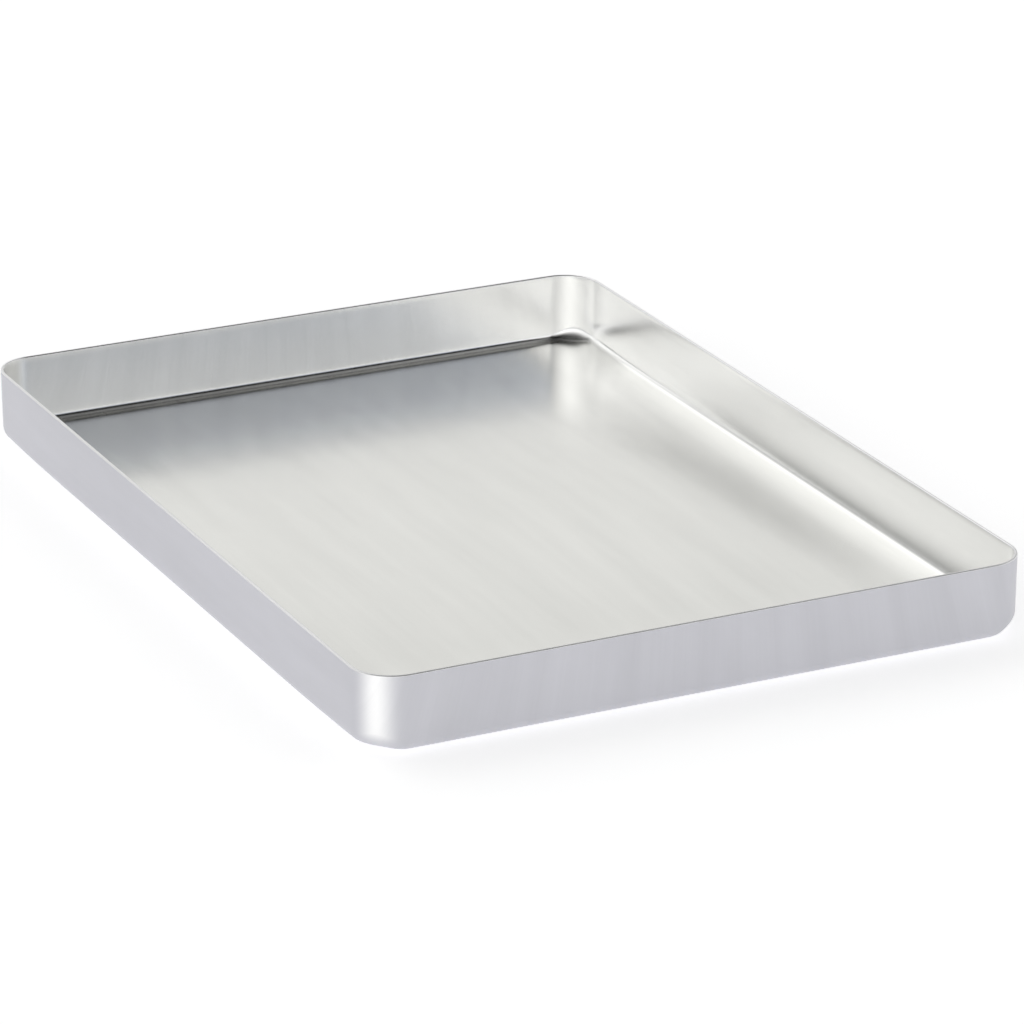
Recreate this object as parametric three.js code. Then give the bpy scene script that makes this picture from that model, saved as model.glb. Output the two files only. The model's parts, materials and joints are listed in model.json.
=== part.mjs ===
// A sheet pan drawn from one sheet of aluminium: a flat floor, four upright walls with a slight draft,
// round corners and a plain cut rim.
// Millimetres, +Z up. X runs across the pan and Y along it, from the middle of the floor's underside.
import * as THREE from 'three';

// Driving dimensions
const rimWidth = 330; // outside, across the pan, at the rim
const rimLength = 457; // outside, along the pan, at the rim
const panHeight = 38; // underside of the floor to the top of the rim
const sheetThickness = 1.6; // the same in floor, bend and wall
const cornerRadius = 20; // outside of a corner in plan, at the rim
const floorBendRadius = 4.9; // inside of the bend that turns the floor up into a wall
const wallDraftDegrees = 0.5; // lean of every wall, so that the pan is widest at its rim
const rimEdgeRadius = 0.4; // both edges of the cut rim, broken by deburring

// Bare sheet
const sheetColour = 0xcdced0;
const sheetRoughness = 0.35;
const sheetMetalness = 1.0;

// Facets of each round stretch
const cornerFacets = 12;
const bendFacets = 6;
const rimFacets = 2;

// The rim keeps a flat strip of this share of the sheet between its two broken edges.
const rimFlatShare = 0.1;

const quarterTurn = Math.PI / 2;
const draft = THREE.MathUtils.degToRad(wallDraftDegrees);

// Points of a circular arc in the plane, with its first and last point exact.
function arcPoints(centreX, centreY, radius, fromAngle, toAngle, facets) {
  const clockwise = toAngle < fromAngle;
  return new THREE.EllipseCurve(centreX, centreY, radius, radius, fromAngle, toAngle, clockwise).getPoints(facets);
}

// Section of the sheet from the edge of the flat underside, round the bend, up the outside of the wall,
// over the rim, down the inside and round to the edge of the flat floor.
// x is the offset outwards from the rim's outside line, and y is the height.
function sheetSection() {
  const outerBendRadius = floorBendRadius + sheetThickness;
  const edgeRadius = Math.min(rimEdgeRadius, ((1 - rimFlatShare) * sheetThickness) / 2);
  const edgeHeight = panHeight - edgeRadius;

  // A point at this height lies this far inside the rim's line when it is set in from the wall's outside face.
  const offsetAt = (height, setIn) => -((panHeight - height) * Math.sin(draft) + setIn) / Math.cos(draft);

  const bendCentre = offsetAt(outerBendRadius, outerBendRadius);
  const outerEdgeCentre = offsetAt(edgeHeight, edgeRadius);
  const innerEdgeCentre = offsetAt(edgeHeight, sheetThickness - edgeRadius);

  return [
    ...arcPoints(bendCentre, outerBendRadius, outerBendRadius, -quarterTurn, -draft, bendFacets),
    ...arcPoints(outerEdgeCentre, edgeHeight, edgeRadius, -draft, quarterTurn, rimFacets),
    ...arcPoints(innerEdgeCentre, edgeHeight, edgeRadius, quarterTurn, Math.PI - draft, rimFacets),
    ...arcPoints(bendCentre, outerBendRadius, floorBendRadius, -draft, -quarterTurn, bendFacets),
  ];
}

// Closed loop round the pan in plan: four corner arcs about shared centres, joined by the straight sides.
function planLoop(offset) {
  const centreX = rimWidth / 2 - cornerRadius;
  const centreY = rimLength / 2 - cornerRadius;
  const corners = [[1, 1], [-1, 1], [-1, -1], [1, -1]];
  return corners.flatMap(([sideX, sideY], corner) => {
    const start = corner * quarterTurn;
    const radius = cornerRadius + offset;
    return arcPoints(sideX * centreX, sideY * centreY, radius, start, start + quarterTurn, cornerFacets);
  });
}

// Closed skin of the drawn sheet: the section carried round the plan, with a flat face over each end of it.
function drawnSheet() {
  const rings = sheetSection().map(({ x, y }) => planLoop(x).map((point) => [point.x, point.y, y]));
  const perRing = rings[0].length;
  const undersideCentre = rings.length * perRing;
  const floorCentre = undersideCentre + 1;
  const positions = [...rings.flat(), [0, 0, 0], [0, 0, sheetThickness]].flat();
  const triangles = [];

  for (let along = 0; along < perRing; along += 1) {
    const next = (along + 1) % perRing;
    for (let ring = 0; ring < rings.length - 1; ring += 1) {
      const here = ring * perRing;
      const above = here + perRing;
      triangles.push(here + along, here + next, above + next);
      triangles.push(here + along, above + next, above + along);
    }
    const lastRing = (rings.length - 1) * perRing;
    triangles.push(undersideCentre, next, along);
    triangles.push(floorCentre, lastRing + along, lastRing + next);
  }

  const geometry = new THREE.BufferGeometry();
  geometry.setAttribute('position', new THREE.Float32BufferAttribute(positions, 3));
  geometry.setIndex(triangles);
  geometry.computeVertexNormals();
  return geometry;
}

const bareAluminium = new THREE.MeshStandardMaterial({
  color: sheetColour,
  roughness: sheetRoughness,
  metalness: sheetMetalness,
});

const pan = new THREE.Mesh(drawnSheet(), bareAluminium);
pan.name = 'pan';

const sheetPan = new THREE.Group();
sheetPan.add(pan);

export default sheetPan;
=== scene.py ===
"""Looks for a sheet pan drawn from one sheet of bare aluminium, on a white studio floor.

The pan's skin is a wall section carried round a rounded rectangle, closed by a gently swelling floor.
"""
import json
import math
from typing import NamedTuple

import bpy
import numpy as np
from bpy.props import FloatProperty, FloatVectorProperty, PointerProperty
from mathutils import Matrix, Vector


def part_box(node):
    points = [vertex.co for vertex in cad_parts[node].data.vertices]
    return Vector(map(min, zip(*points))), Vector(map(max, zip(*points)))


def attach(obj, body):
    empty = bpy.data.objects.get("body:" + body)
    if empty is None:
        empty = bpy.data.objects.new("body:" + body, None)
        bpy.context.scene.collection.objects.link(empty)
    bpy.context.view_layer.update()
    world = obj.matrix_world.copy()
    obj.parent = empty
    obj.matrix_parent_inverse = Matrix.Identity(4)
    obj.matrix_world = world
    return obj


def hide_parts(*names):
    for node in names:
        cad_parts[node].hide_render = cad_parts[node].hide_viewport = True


bl_info = {
    "name": "Sheet Pan",
    "version": (1, 0, 0),
    "blender": (4, 5, 0),
    "location": "View3D > Sidebar > Sheet Pan",
    "description": "Makes a drawn aluminium sheet pan and the white stage that it stands on",
    "category": "Add Mesh",
}

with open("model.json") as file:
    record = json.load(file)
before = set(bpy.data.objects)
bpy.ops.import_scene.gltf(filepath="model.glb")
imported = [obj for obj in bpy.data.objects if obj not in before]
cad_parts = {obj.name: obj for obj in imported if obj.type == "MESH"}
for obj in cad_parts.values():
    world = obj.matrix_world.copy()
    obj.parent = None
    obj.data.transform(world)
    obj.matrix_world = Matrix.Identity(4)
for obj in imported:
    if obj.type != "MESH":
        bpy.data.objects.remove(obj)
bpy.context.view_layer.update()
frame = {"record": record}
PAN_LOW, PAN_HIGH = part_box("pan")
PAN_SIZE = PAN_HIGH - PAN_LOW
SHEET = next(mount["pos_m"][2] for mount in frame["record"]["mounts"] if mount["name"] == "floor")
QUARTER_TURN = math.pi / 2
SENSOR_WIDTH = 36  # millimetres

# Points along each stretch of the skin
CORNER_POINTS = 33
SIDE_POINTS = 84
BEND_POINTS = 17
WALL_POINTS = 12
RIM_POINTS = 6
FLOOR_RINGS = 48
FLOOR_RING_POWER = 1.6
SLOPE_PROBE = 1 / 30  # share of the bend's radius over which the floor's slope is taken

# Places on the sheet with a finish of their own; one of them is a painted glint on the front left corner
PLACES = ("outside", "burnished", "rim", "wall")
# Spread of the painted glint round the front left corner, and its fade down the outer bend
GLINT_POWER = 2
GLINT_FADE_POWER = 3
STREAK_DETAIL = 3.0


class PanSizes(bpy.types.PropertyGroup):
    """Sizes of the drawn sheet."""

    width: FloatProperty(
        name="Width", description="Outside width at the rim", default=PAN_SIZE.x, unit="LENGTH"
    )
    length: FloatProperty(
        name="Length", description="Outside length at the rim", default=PAN_SIZE.y, unit="LENGTH"
    )
    height: FloatProperty(
        name="Height", description="Underside to rim", default=PAN_SIZE.z, unit="LENGTH"
    )
    sheet: FloatProperty(
        name="Sheet", description="Thickness of the sheet", default=SHEET, unit="LENGTH", precision=4
    )
    corner: FloatProperty(
        name="Corner Radius", description="Outside corner in plan", default=0.020, unit="LENGTH"
    )
    bend: FloatProperty(
        name="Bend Radius", description="Inside of the bend at the foot of the walls", default=0.0034,
        unit="LENGTH", precision=4,
    )
    corner_bend: FloatProperty(
        name="Corner Bend", description="Inside of the bend in the middle of a corner", default=0.0070,
        unit="LENGTH", precision=4,
    )
    draft: FloatProperty(
        name="Draft", description="Lean of the walls", default=math.radians(0.5), subtype="ANGLE"
    )
    rim_edge: FloatProperty(
        name="Rim Edge", description="Round on both edges of the cut rim", default=0.0006, unit="LENGTH",
        precision=5,
    )
    long_foot_slope: FloatProperty(
        name="Long Foot Slope", description="Rise of the floor where it meets a long wall's bend",
        default=math.radians(12), subtype="ANGLE",
    )
    long_foot_reach: FloatProperty(
        name="Long Foot Reach", description="Distance over which that rise dies away", default=0.0170,
        unit="LENGTH", precision=4,
    )
    short_foot_slope: FloatProperty(
        name="Short Foot Slope", description="Rise of the floor where it meets a short wall's bend",
        default=math.radians(2.2), subtype="ANGLE",
    )
    short_foot_reach: FloatProperty(
        name="Short Foot Reach", description="Distance over which that rise dies away", default=0.085,
        unit="LENGTH", precision=4,
    )
    crown: FloatProperty(
        name="Floor Crown", description="Height of the floor's middle over its edges", default=0.0030,
        unit="LENGTH", precision=5,
    )
    long_crown_reach: FloatProperty(
        name="Long Crown Reach", description="Distance from a long wall over which the crown rises",
        default=0.037, unit="LENGTH",
    )
    short_crown_reach: FloatProperty(
        name="Short Crown Reach", description="Distance from a short wall over which the crown rises",
        default=0.130, unit="LENGTH",
    )
    crown_shift: FloatProperty(
        name="Crown Shift", description="Distance by which the crown's middle lies nearer the front",
        default=0.030, unit="LENGTH",
    )


class PanFinish(bpy.types.PropertyGroup):
    """Finish of the bare sheet, with painted light, shade and a glint in some of its colours."""

    # Painted light: the floor's faintly warm cast and the inside walls' brighter colour, on one sheet
    colour: FloatVectorProperty(
        name="Colour", description="Floor", default=(0.88, 0.88, 0.842), subtype="COLOR"
    )
    wall_colour: FloatVectorProperty(
        name="Wall Colour", description="Inside of the walls, brighter than the floor",
        default=(0.94, 0.94, 0.94), subtype="COLOR",
    )
    # Painted shade: the outside and underside are darker and bluer than the inside of the same sheet
    outside_colour: FloatVectorProperty(
        name="Outside Colour", description="Outside of the walls and underside",
        default=(0.58, 0.58, 0.615), subtype="COLOR",
    )
    # Painted glint: a bright patch on the front left corner's outside in place of a lamp's reflection
    painted_glint_colour: FloatVectorProperty(
        name="Painted Glint Colour",
        description="Middle of the front left corner's outside, bright in place of a lamp's glint",
        default=(0.98, 0.98, 0.98), subtype="COLOR",
    )
    rim_colour: FloatVectorProperty(
        name="Rim Colour", description="Cut edge of the sheet", default=(0.87, 0.87, 0.87), subtype="COLOR"
    )
    roughness: FloatProperty(
        name="Roughness", description="Satin of the floor", default=0.18, subtype="FACTOR"
    )
    outside_roughness: FloatProperty(
        name="Outside Roughness", description="Satin of the outside", default=0.42, subtype="FACTOR"
    )
    wall_roughness: FloatProperty(
        name="Wall Roughness", description="Satin of the inside of the walls", default=0.235,
        subtype="FACTOR",
    )
    grain_depth: FloatProperty(
        name="Grain Depth", description="Depth of the rolling grain", default=0.000003, unit="LENGTH",
        precision=6,
    )


class StageSettings(bpy.types.PropertyGroup):
    """Camera, floor and light."""

    azimuth: FloatProperty(
        name="Azimuth", description="Camera's bearing round the pan", default=math.radians(-25.85),
        subtype="ANGLE",
    )
    elevation: FloatProperty(
        name="Elevation", description="Camera's height above the horizon", default=math.radians(21.01),
        subtype="ANGLE",
    )
    distance: FloatProperty(
        name="Distance", description="Camera to its aim", default=2.5565, unit="LENGTH"
    )
    lens: FloatProperty(
        name="Lens", description="Focal length in millimetres on a 36 mm sensor", default=188.33
    )
    aim_right: FloatProperty(
        name="Aim Right", description="Aim to the right of the pan's origin", default=0.01237,
        unit="LENGTH", precision=5,
    )
    aim_up: FloatProperty(
        name="Aim Up", description="Aim above the pan's origin", default=0.00856, unit="LENGTH", precision=5
    )
    floor_colour: FloatVectorProperty(
        name="Floor Colour", description="White floor", default=(0.95, 0.95, 0.95), subtype="COLOR"
    )
    floor_lift: FloatProperty(
        name="Floor Lift",
        description="White that the camera and reflections see over the floor's lit colour",
        default=0.55,
    )
    floor_size: FloatProperty(
        name="Floor Size", description="Side of the square floor", default=12.0, unit="LENGTH"
    )
    room_level: FloatProperty(
        name="Room Level", description="Light of the bare room's walls at the horizon", default=1.0
    )


class Streaks(NamedTuple):
    """Marks drawn out along the rolling direction.

    They have so many waves a metre across and along it, and a strength in the colour and in the roughness.
    """

    across: float
    along: float
    colour: float
    roughness: float = 0


GRAIN = Streaks(across=1100, along=14, colour=0.05, roughness=0.06)
BANDS = Streaks(across=60, along=5, colour=0.15)
HANDLING = Streaks(across=45, along=22, colour=0.08, roughness=0.05)


class SoftLight(NamedTuple):
    """A soft light round the studio: its bearing and its reach to each side and up, in degrees.

    Its level is that of its middle, and a flag, which takes light away, has one below 0.
    """

    azimuth: float
    elevation: float
    width: float
    height: float
    level: float
    tint: tuple = (1, 1, 1)


COOL = (0.93, 0.99, 1.12)

SOFT_LIGHTS = (
    # broad softboxes from the front left round to the right, and a strip at the front right
    SoftLight(azimuth=-44, elevation=22, width=50, height=20, level=0.9),
    SoftLight(azimuth=-101, elevation=36, width=26, height=20, level=0.5),
    SoftLight(azimuth=-164, elevation=45, width=32, height=24, level=1.43),
    SoftLight(azimuth=149, elevation=24, width=24, height=12, level=0.36),
    SoftLight(azimuth=87, elevation=46, width=36, height=18, level=0.9),
    SoftLight(azimuth=33, elevation=22.5, width=16, height=5, level=1.0, tint=COOL),
    # black flags high at the front right and low at the back left
    SoftLight(azimuth=27, elevation=36.5, width=13, height=15.5, level=-1.5),
    SoftLight(azimuth=-152, elevation=9, width=30, height=6, level=-0.57),
)


def bearing(azimuth, elevation):
    """Unit vector towards a bearing: azimuth 0 is the pan's front, -Y, and turns towards +X."""
    across = math.cos(elevation)
    return Vector((math.sin(azimuth) * across, -math.cos(azimuth) * across, math.sin(elevation)))


def plan_path(sizes):
    """Path round the pan in plan, as points of a spine and outward directions.

    A point at an offset from the rim's line lies at the spine point plus the direction times the sum of the
    corner radius and the offset. Corners turn about a fixed spine point, and sides run between two of them.
    """
    half = np.array([sizes.width / 2 - sizes.corner, sizes.length / 2 - sizes.corner])
    sides = np.array([[1, 1], [-1, 1], [-1, -1], [1, -1]])
    turn = np.linspace(0, QUARTER_TURN, CORNER_POINTS)
    share = np.linspace(0, 1, SIDE_POINTS + 2)[1:-1, None]
    points = []
    directions = []
    for number, side in enumerate(sides):
        angle = turn + number * QUARTER_TURN
        fan = np.stack([np.cos(angle), np.sin(angle)], 1)
        start = side * half
        end = sides[(number + 1) % len(sides)] * half
        points += [np.repeat(start[None], len(turn), 0), start + share * (end - start)]
        directions += [fan, np.repeat(fan[-1:], len(share), 0)]
    return np.concatenate(points), np.concatenate(directions)


def corner_share(outward):
    """How far into a corner each outward direction lies, from 0 on the sides to 1 in a corner's middle.

    It is the square of twice the product of the direction's two parts.
    """
    return (2 * outward[:, 0] * outward[:, 1]) ** 2


def floor_relief(sizes, x, y):
    """Height of the floor over the foot of its walls, at a distance d from the bends of each pair of walls.

    The crown is its height times 1 - exp(-(d / reach) cubed) for both pairs. Each pair's foot turns up in a
    cove, which adds slope x reach / 2 x (1 - d / reach) squared up to its reach.
    """
    inset = sizes.sheet + sizes.bend
    from_long = np.maximum(sizes.width / 2 - inset - np.abs(x), 0)
    from_short = np.maximum(sizes.length / 2 - inset - np.abs(y), 0)
    into_crown = np.maximum(sizes.length / 2 - inset - np.abs(y + sizes.crown_shift), 0)
    rise_long = 1 - np.exp(-((from_long / sizes.long_crown_reach) ** 3))
    rise_short = 1 - np.exp(-((into_crown / sizes.short_crown_reach) ** 3))
    long_foot = math.tan(sizes.long_foot_slope) * sizes.long_foot_reach / 2
    short_foot = math.tan(sizes.short_foot_slope) * sizes.short_foot_reach / 2
    foot = long_foot * np.maximum(1 - from_long / sizes.long_foot_reach, 0) ** 2
    foot += short_foot * np.maximum(1 - from_short / sizes.short_foot_reach, 0) ** 2
    return sizes.crown * rise_long * rise_short + foot


def arc_rows(centre, radius, start, end, count):
    """Rows of arc points, one column for each point of the plan path.

    The centre is (offset, height). A row turns the radius from the start angle towards the end angle.
    """
    angle = start + np.linspace(0, 1, count)[:, None] * (end - start)
    return np.stack([centre[0] + radius * np.cos(angle), centre[1] + radius * np.sin(angle)], 2)


def straight_rows(start, end):
    """Rows between two rows, at even shares of the way, without the two themselves."""
    share = np.linspace(0, 1, WALL_POINTS + 2)[1:-1, None, None]
    return start + share * (end - start)


def wall_offset(sizes, height, set_in):
    """Offset from the rim's line of a point that is set in from the wall's outside face at a height."""
    lean = (sizes.height - height) * math.sin(sizes.draft)
    return -(lean + set_in) / math.cos(sizes.draft)


def pan_surface(sizes):
    """Grid of the whole skin, as rings from the underside's middle over the rim to the floor's middle.

    Rings of the wall are arcs and straights of the section. Rings of the floor are the edge ring shrunk
    towards the middle, at the floor's relief. Returns the points, the index of the first inside ring, and
    the outward direction of each column of points.
    """
    spine, outward = plan_path(sizes)
    bend = sizes.bend + (sizes.corner_bend - sizes.bend) * corner_share(outward)
    outer_bend = bend + sizes.sheet

    edge_offset = wall_offset(sizes, outer_bend, outer_bend)
    edge = spine + outward * (sizes.corner + edge_offset)[:, None]
    probe = sizes.bend * SLOPE_PROBE
    inner = edge - probe * outward
    edge_relief = floor_relief(sizes, edge[:, 0], edge[:, 1])
    slope = (edge_relief - floor_relief(sizes, inner[:, 0], inner[:, 1])) / probe
    turn = np.arctan(slope)

    shrink = 1 - np.linspace(0, 1, FLOOR_RINGS + 2)[1:-1, None, None] ** FLOOR_RING_POWER
    floor_plan = shrink * edge
    floor_height = floor_relief(sizes, floor_plan[..., 0], floor_plan[..., 1])
    lift = -min(floor_height.min(), edge_relief.min())

    centre_height = lift + sizes.sheet + edge_relief + bend * np.cos(turn)
    centre = (wall_offset(sizes, centre_height, outer_bend), centre_height)
    edge_height = np.full(len(spine), sizes.height - sizes.rim_edge)
    rim_outer = (wall_offset(sizes, edge_height, sizes.rim_edge), edge_height)
    rim_inner = (wall_offset(sizes, edge_height, sizes.sheet - sizes.rim_edge), edge_height)

    outer_arc = arc_rows(centre, outer_bend, turn - QUARTER_TURN, -sizes.draft, BEND_POINTS)
    rim_out = arc_rows(rim_outer, sizes.rim_edge, -sizes.draft, QUARTER_TURN, RIM_POINTS)
    rim_in = arc_rows(rim_inner, sizes.rim_edge, QUARTER_TURN, math.pi - sizes.draft, RIM_POINTS)
    inner_arc = arc_rows(centre, bend, -sizes.draft, turn - QUARTER_TURN, BEND_POINTS)
    outside = np.concatenate([outer_arc, straight_rows(outer_arc[-1], rim_out[0]), rim_out])
    inside = np.concatenate([rim_in, straight_rows(rim_in[-1], inner_arc[0]), inner_arc])
    section = np.concatenate([outside, inside])
    walls = np.concatenate([spine + outward * (sizes.corner + section[..., :1]), section[..., 1:]], 2)

    under = np.concatenate([shrink * walls[0, :, :2], (lift + floor_height)[..., None]], 2)
    floor = np.concatenate([shrink * walls[-1, :, :2], (lift + sizes.sheet + floor_height)[..., None]], 2)
    return np.concatenate([under[::-1], walls, floor]), len(under) + len(outside), outward


def blank_place(rings, first_inside, edge_rings):
    """Place of every point on the flat blank before drawing: its plan place on the floor, and on a wall the
    floor's edge plus the way along the section, outwards.
    """
    low, high = edge_rings
    place = rings[..., :2].copy()
    steps = np.linalg.norm(np.diff(rings, axis=0), axis=2)
    outward = rings[low + 1 : low + 2, :, :2] - rings[low - 1 : low, :, :2]
    outward = outward / np.linalg.norm(outward, axis=2, keepdims=True)
    climb = np.cumsum(steps[low:first_inside], axis=0)
    place[low + 1 : first_inside + 1] = rings[low, :, :2] + outward * climb[..., None]
    climb = np.cumsum(steps[first_inside:high][::-1], axis=0)[::-1]
    place[first_inside:high] = rings[high, :, :2] + outward * climb[..., None]
    return place


def finish_shares(shape, first_inside, edge_rings, outward):
    """Share of every point in each of the finish's places, from 0 to 1.

    The outside and the rim are whole rings. The inside of the walls fades evenly to 0 down the bend. The
    painted glint on the front left corner's outside is the corner share to a power, and fades faster down
    the outer bend.
    """
    low, high = edge_rings
    down_bend = np.linspace(1, 0, BEND_POINTS)[:, None]
    shares = {place: np.zeros(shape) for place in PLACES}
    shares["outside"][:first_inside] = 1
    shares["rim"][first_inside - RIM_POINTS + 1 : first_inside + RIM_POINTS - 1] = 1
    shares["wall"][first_inside : high + 1] = 1
    shares["wall"][high + 1 - BEND_POINTS : high + 1] *= down_bend
    front_left = outward.sum(1) < -1  # directions between -X and -Y
    # Painted glint in the middle of the front left corner's outside, fading down the outer bend
    shares["burnished"][low:first_inside] = corner_share(outward) ** GLINT_POWER * front_left
    shares["burnished"][low : low + BEND_POINTS] *= down_bend[::-1] ** GLINT_FADE_POWER
    return shares


def ring_mesh(name, rings, poles):
    """Closed mesh of a grid whose rows are rings, with a pole point before the first and after the last."""
    rows, columns = rings.shape[:2]
    index = np.arange(rows * columns).reshape(rows, columns)
    following = np.roll(index, -1, 1)
    quads = np.stack([index[:-1], following[:-1], following[1:], index[1:]], 2).reshape(-1, 4)
    first = rows * columns
    cap_low = np.stack([np.full(columns, first), following[0], index[0]], 1)
    cap_high = np.stack([np.full(columns, first + 1), index[-1], following[-1]], 1)
    points = np.concatenate([rings.reshape(-1, 3), poles])
    mesh = bpy.data.meshes.new(name)
    mesh.from_pydata(points.tolist(), [], quads.tolist() + cap_low.tolist() + cap_high.tolist())
    mesh.shade_smooth()
    mesh.update()
    return mesh


class Shade:
    """A value in a node tree. Its operators add Math nodes, and node() adds any other node."""

    def __init__(self, tree, socket=None):
        self.tree = tree
        self.socket = socket

    def node(self, kind, settings=None, sockets=None, output=0):
        """Add a node, set its settings, fill its sockets with values or links and wrap one output."""
        node = self.tree.nodes.new(kind)
        for name, value in (settings or {}).items():
            setattr(node, name, value)
        for name, value in (sockets or {}).items():
            self.feed(self.find(node.inputs, name), value)
        return Shade(self.tree, self.find(node.outputs, output))

    @staticmethod
    def find(sockets, name):
        """Socket of a node by its place, or by its identifier, which is unique where names repeat."""
        if isinstance(name, int):
            return sockets[name]
        return next(socket for socket in sockets if socket.identifier == name)

    def feed(self, target, value):
        """Link a wrapped value to a socket, or set a plain one on it."""
        if isinstance(value, Shade):
            self.tree.links.new(value.socket, target)
        else:
            target.default_value = value

    def math(self, operation, *values):
        """Add a Math node on one or more values."""
        return self.node("ShaderNodeMath", {"operation": operation}, dict(enumerate(values)))

    def __add__(self, other):
        return self.math("ADD", self, other)

    def __radd__(self, other):
        return self.math("ADD", other, self)

    def __sub__(self, other):
        return self.math("SUBTRACT", self, other)

    def __rsub__(self, other):
        return self.math("SUBTRACT", other, self)

    def __mul__(self, other):
        return self.math("MULTIPLY", self, other)

    def __rmul__(self, other):
        return self.math("MULTIPLY", other, self)


def streak_noise(shade, blank, streaks):
    """Noise about 0 on the flat blank, with the streaks' waves across and along the rolling direction."""
    place = shade.node(
        "ShaderNodeVectorMath", {"operation": "MULTIPLY"}, {0: blank, 1: (streaks.across, streaks.along, 1)}
    )
    sockets = {"Vector": place, "Scale": 1.0, "Detail": STREAK_DETAIL}
    return shade.node("ShaderNodeTexNoise", {}, sockets, "Fac") - 0.5


def aluminium(finish):
    """Bare rolled aluminium: satin with fine grain and broad streaks along the sheet.

    The floor's colour gives way to that of each place by its share: the inside walls' colour is painted
    light, the outside's painted shade and the front left corner's a painted glint. It is then scaled by 1
    plus each kind of streak's strength times its noise, and the roughness gains such products too.
    """
    material = bpy.data.materials.new("bare_aluminium")
    material.use_nodes = True
    tree = material.node_tree
    shader = tree.nodes["Principled BSDF"]
    shade = Shade(tree)
    outside, burnished, rim, wall = (
        shade.node("ShaderNodeAttribute", {"attribute_name": place}, output="Fac") for place in PLACES
    )
    blank = shade.node("ShaderNodeAttribute", {"attribute_name": "blank"}, output="Vector")
    grain, bands, handling = (
        streak_noise(shade, blank, streaks) for streaks in (GRAIN, BANDS, HANDLING)
    )

    colour = (*finish.colour, 1)
    # Painted light on the inside walls, painted shade outside and a painted glint on the front left corner
    for share, place_colour in (
        (wall, finish.wall_colour),
        (outside, finish.outside_colour),
        (burnished, finish.painted_glint_colour),
        (rim, finish.rim_colour),
    ):
        colour = shade.node(
            "ShaderNodeMix",
            {"data_type": "RGBA"},
            {0: share, "A_Color": colour, "B_Color": (*place_colour, 1)},
            "Result_Color",
        )
    scale = 1 + BANDS.colour * bands + GRAIN.colour * grain + HANDLING.colour * handling
    colour = shade.node("ShaderNodeVectorMath", {"operation": "SCALE"}, {0: colour, "Scale": scale})
    roughness = finish.roughness + (finish.outside_roughness - finish.roughness) * outside
    roughness = roughness + (finish.wall_roughness - finish.roughness) * wall
    roughness = roughness + GRAIN.roughness * grain + HANDLING.roughness * handling
    bump = shade.node(
        "ShaderNodeBump", {}, {"Strength": 1.0, "Distance": finish.grain_depth, "Height": grain}, "Normal"
    )
    shade.feed(shader.inputs["Base Color"], colour)
    shade.feed(shader.inputs["Roughness"], roughness)
    shade.feed(shader.inputs["Normal"], bump)
    shader.inputs["Metallic"].default_value = 1.0
    return material


class SHEETPAN_OT_pan(bpy.types.Operator):
    """Make the drawn sheet with its floor, walls, corners and rim"""

    bl_idname = "sheet_pan.pan"
    bl_label = "Sheet Pan"

    def execute(self, context):
        sizes = context.scene.pan_sizes
        finish = context.scene.pan_finish
        rings, first_inside, outward = pan_surface(sizes)
        poles = np.array([[0, 0, rings[0, :, 2].mean()], [0, 0, rings[-1, :, 2].mean()]])
        mesh = ring_mesh("drawn_sheet", rings, poles)
        edge_rings = (FLOOR_RINGS, len(rings) - FLOOR_RINGS - 1)
        blank = blank_place(rings, first_inside, edge_rings)
        blank = np.concatenate([blank.reshape(-1, 2), poles[:, :2]])
        blank = np.concatenate([blank, np.zeros((len(blank), 1))], 1)
        mesh.attributes.new("blank", "FLOAT_VECTOR", "POINT").data.foreach_set("vector", blank.ravel())
        for place, share in finish_shares(rings.shape[:2], first_inside, edge_rings, outward).items():
            values = np.append(share, share[[0, -1], 0])
            mesh.attributes.new(place, "FLOAT", "POINT").data.foreach_set("value", values)
        mesh.materials.append(aluminium(finish))
        piece = bpy.data.objects.new("drawn_sheet", mesh)
        context.scene.collection.objects.link(piece)
        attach(piece, "root")
        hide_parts("pan")
        return {"FINISHED"}


def photo_camera(stage):
    """Camera at the stage's bearing and distance, aimed a little off the pan's origin."""
    back = bearing(stage.azimuth, stage.elevation)
    right = Vector((math.cos(stage.azimuth), math.sin(stage.azimuth), 0))
    up = back.cross(right)
    camera = bpy.data.objects.new("camera", bpy.data.cameras.new("camera"))
    camera.data.sensor_width = SENSOR_WIDTH
    camera.data.lens = stage.lens
    camera.location = back * stage.distance + right * stage.aim_right + up * stage.aim_up
    camera.rotation_euler = back.to_track_quat("Z", "Y").to_euler()
    return camera


def white_floor(stage):
    """Square of white paper under the pan: four corners, each half the floor's size to either side.

    The paper is lit and takes the pan's shadow, and looks whiter than that by the floor's lift.
    """
    mesh = bpy.data.meshes.new("white_floor")
    corners = np.array([[-1, -1, 0], [1, -1, 0], [1, 1, 0], [-1, 1, 0]]) * stage.floor_size / 2
    mesh.from_pydata(corners.tolist(), [], [range(len(corners))])
    paper = bpy.data.materials.new("white_paper")
    paper.use_nodes = True
    paper.cycles.emission_sampling = "NONE"
    shader = paper.node_tree.nodes["Principled BSDF"]
    shade = Shade(paper.node_tree)
    camera, glossy, through = (
        shade.node("ShaderNodeLightPath", output=ray)
        for ray in ("Is Camera Ray", "Is Glossy Ray", "Is Transmission Ray")
    )
    shade.feed(shader.inputs["Emission Color"], stage.floor_lift * (camera + glossy + through))
    shader.inputs["Emission Strength"].default_value = 1.0
    shader.inputs["Base Color"].default_value = (*stage.floor_colour, 1)
    shader.inputs["Roughness"].default_value = 1.0
    shader.inputs["Specular IOR Level"].default_value = 0.0
    mesh.materials.append(paper)
    return bpy.data.objects.new("white_floor", mesh)


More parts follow.
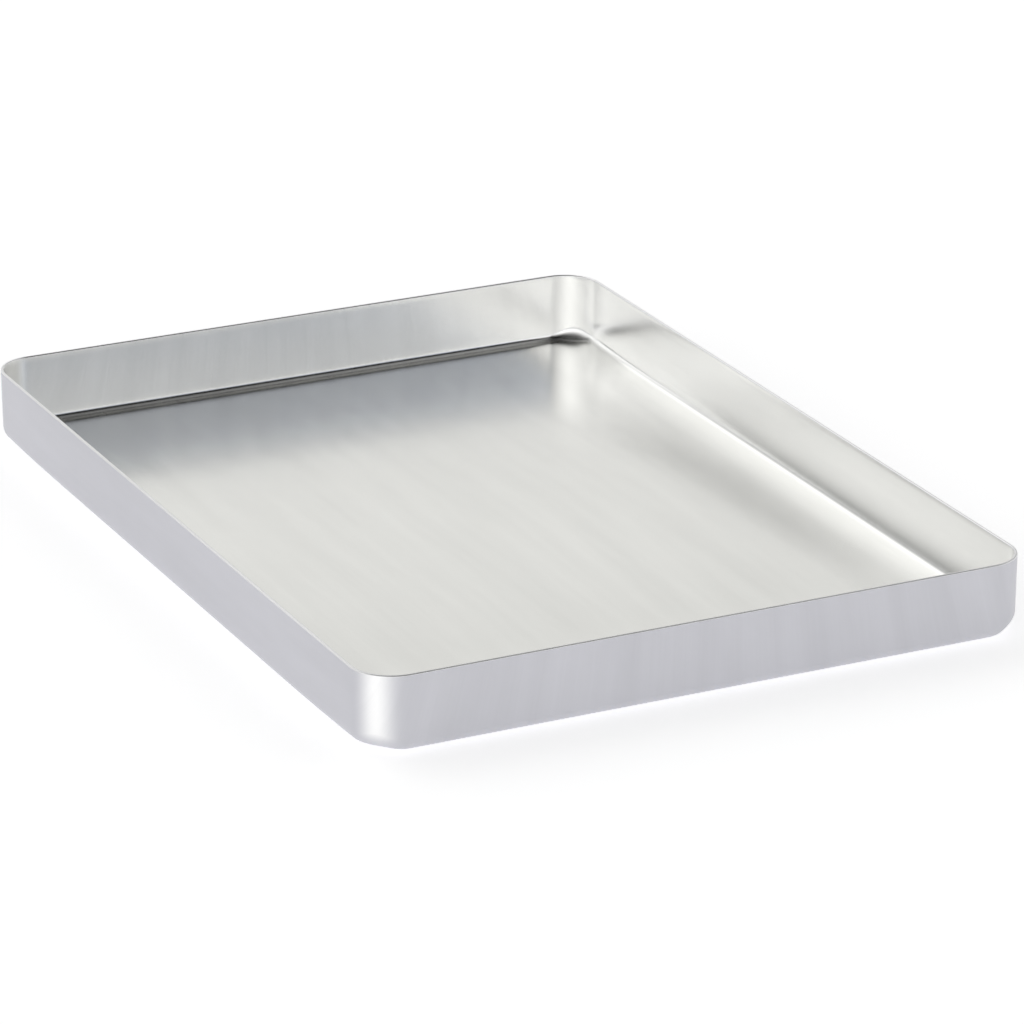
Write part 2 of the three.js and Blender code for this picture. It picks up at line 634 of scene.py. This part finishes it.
def studio(stage):
    """World whose level in a direction is the room's plus that of every soft light, and never below 0.

    The room's walls fade into a black ceiling as (1 - sine of the elevation) squared. A light's share of
    its level is exp(-sideways - upwards), where sideways is (1 - cos of the turn from it) over
    (1 - cos of its width), and upwards is the square of the climb from it over its height.
    """
    world = bpy.data.worlds.new("studio")
    world.use_nodes = True
    shade = Shade(world.node_tree)
    towards = shade.node("ShaderNodeTexCoord", output="Generated")
    x, y, z = (shade.node("ShaderNodeSeparateXYZ", sockets={0: towards}, output=axis) for axis in range(3))
    azimuth = shade.math("ARCTAN2", x, 0 - y)
    elevation = shade.math("ARCSINE", z)
    dark = 1 - z
    level = stage.room_level * dark * dark
    for light in SOFT_LIGHTS:
        turn = shade.math("COSINE", azimuth - math.radians(light.azimuth))
        climb = (elevation - math.radians(light.elevation)) * (1 / math.radians(light.height))
        spread = 1 - math.cos(math.radians(light.width))
        share = shade.math("EXPONENT", (turn - 1) * (1 / spread) - climb * climb)
        level = shade.node(
            "ShaderNodeVectorMath",
            {"operation": "MULTIPLY_ADD"},
            {0: light.level * share, 1: light.tint, 2: level},
        )
    level = shade.node("ShaderNodeVectorMath", {"operation": "MAXIMUM"}, {0: level, 1: (0, 0, 0)})
    shade.feed(world.node_tree.nodes["Background"].inputs["Color"], level)
    return world


class SHEETPAN_OT_stage(bpy.types.Operator):
    """Lay the white floor, light the studio and frame the pan"""

    bl_idname = "sheet_pan.stage"
    bl_label = "Stage"

    def execute(self, context):
        scene = context.scene
        stage = scene.pan_stage
        scene.view_settings.view_transform = "Standard"
        scene.camera = photo_camera(stage)
        scene.world = studio(stage)
        floor = white_floor(stage)
        for thing in (scene.camera, floor):
            scene.collection.objects.link(thing)
        return {"FINISHED"}


class SHEETPAN_PT_sidebar(bpy.types.Panel):
    """Sizes, finish and stage of the sheet pan."""

    bl_label = "Sheet Pan"
    bl_idname = "SHEETPAN_PT_sidebar"
    bl_space_type = "VIEW_3D"
    bl_region_type = "UI"
    bl_category = "Sheet Pan"

    def draw(self, context):
        for operator in OPERATORS:
            self.layout.operator(operator.bl_idname)
        for group in (context.scene.pan_sizes, context.scene.pan_finish, context.scene.pan_stage):
            box = self.layout.box()
            for name in group.__annotations__:
                box.prop(group, name)


OPERATORS = (SHEETPAN_OT_pan, SHEETPAN_OT_stage)
GROUPS = {"pan_sizes": PanSizes, "pan_finish": PanFinish, "pan_stage": StageSettings}
CLASSES = (*GROUPS.values(), *OPERATORS, SHEETPAN_PT_sidebar)


def register():
    """Register the classes and hang the settings on the scene."""
    for cls in CLASSES:
        bpy.utils.register_class(cls)
    for name, group in GROUPS.items():
        setattr(bpy.types.Scene, name, PointerProperty(type=group))


def unregister():
    """Take the settings and classes out again."""
    for name in GROUPS:
        delattr(bpy.types.Scene, name)
    for cls in reversed(CLASSES):
        bpy.utils.unregister_class(cls)


def main():
    """Make the pan and its stage."""
    register()
    bpy.ops.sheet_pan.pan()
    bpy.ops.sheet_pan.stage()


if __name__ == "__main__":
    main()
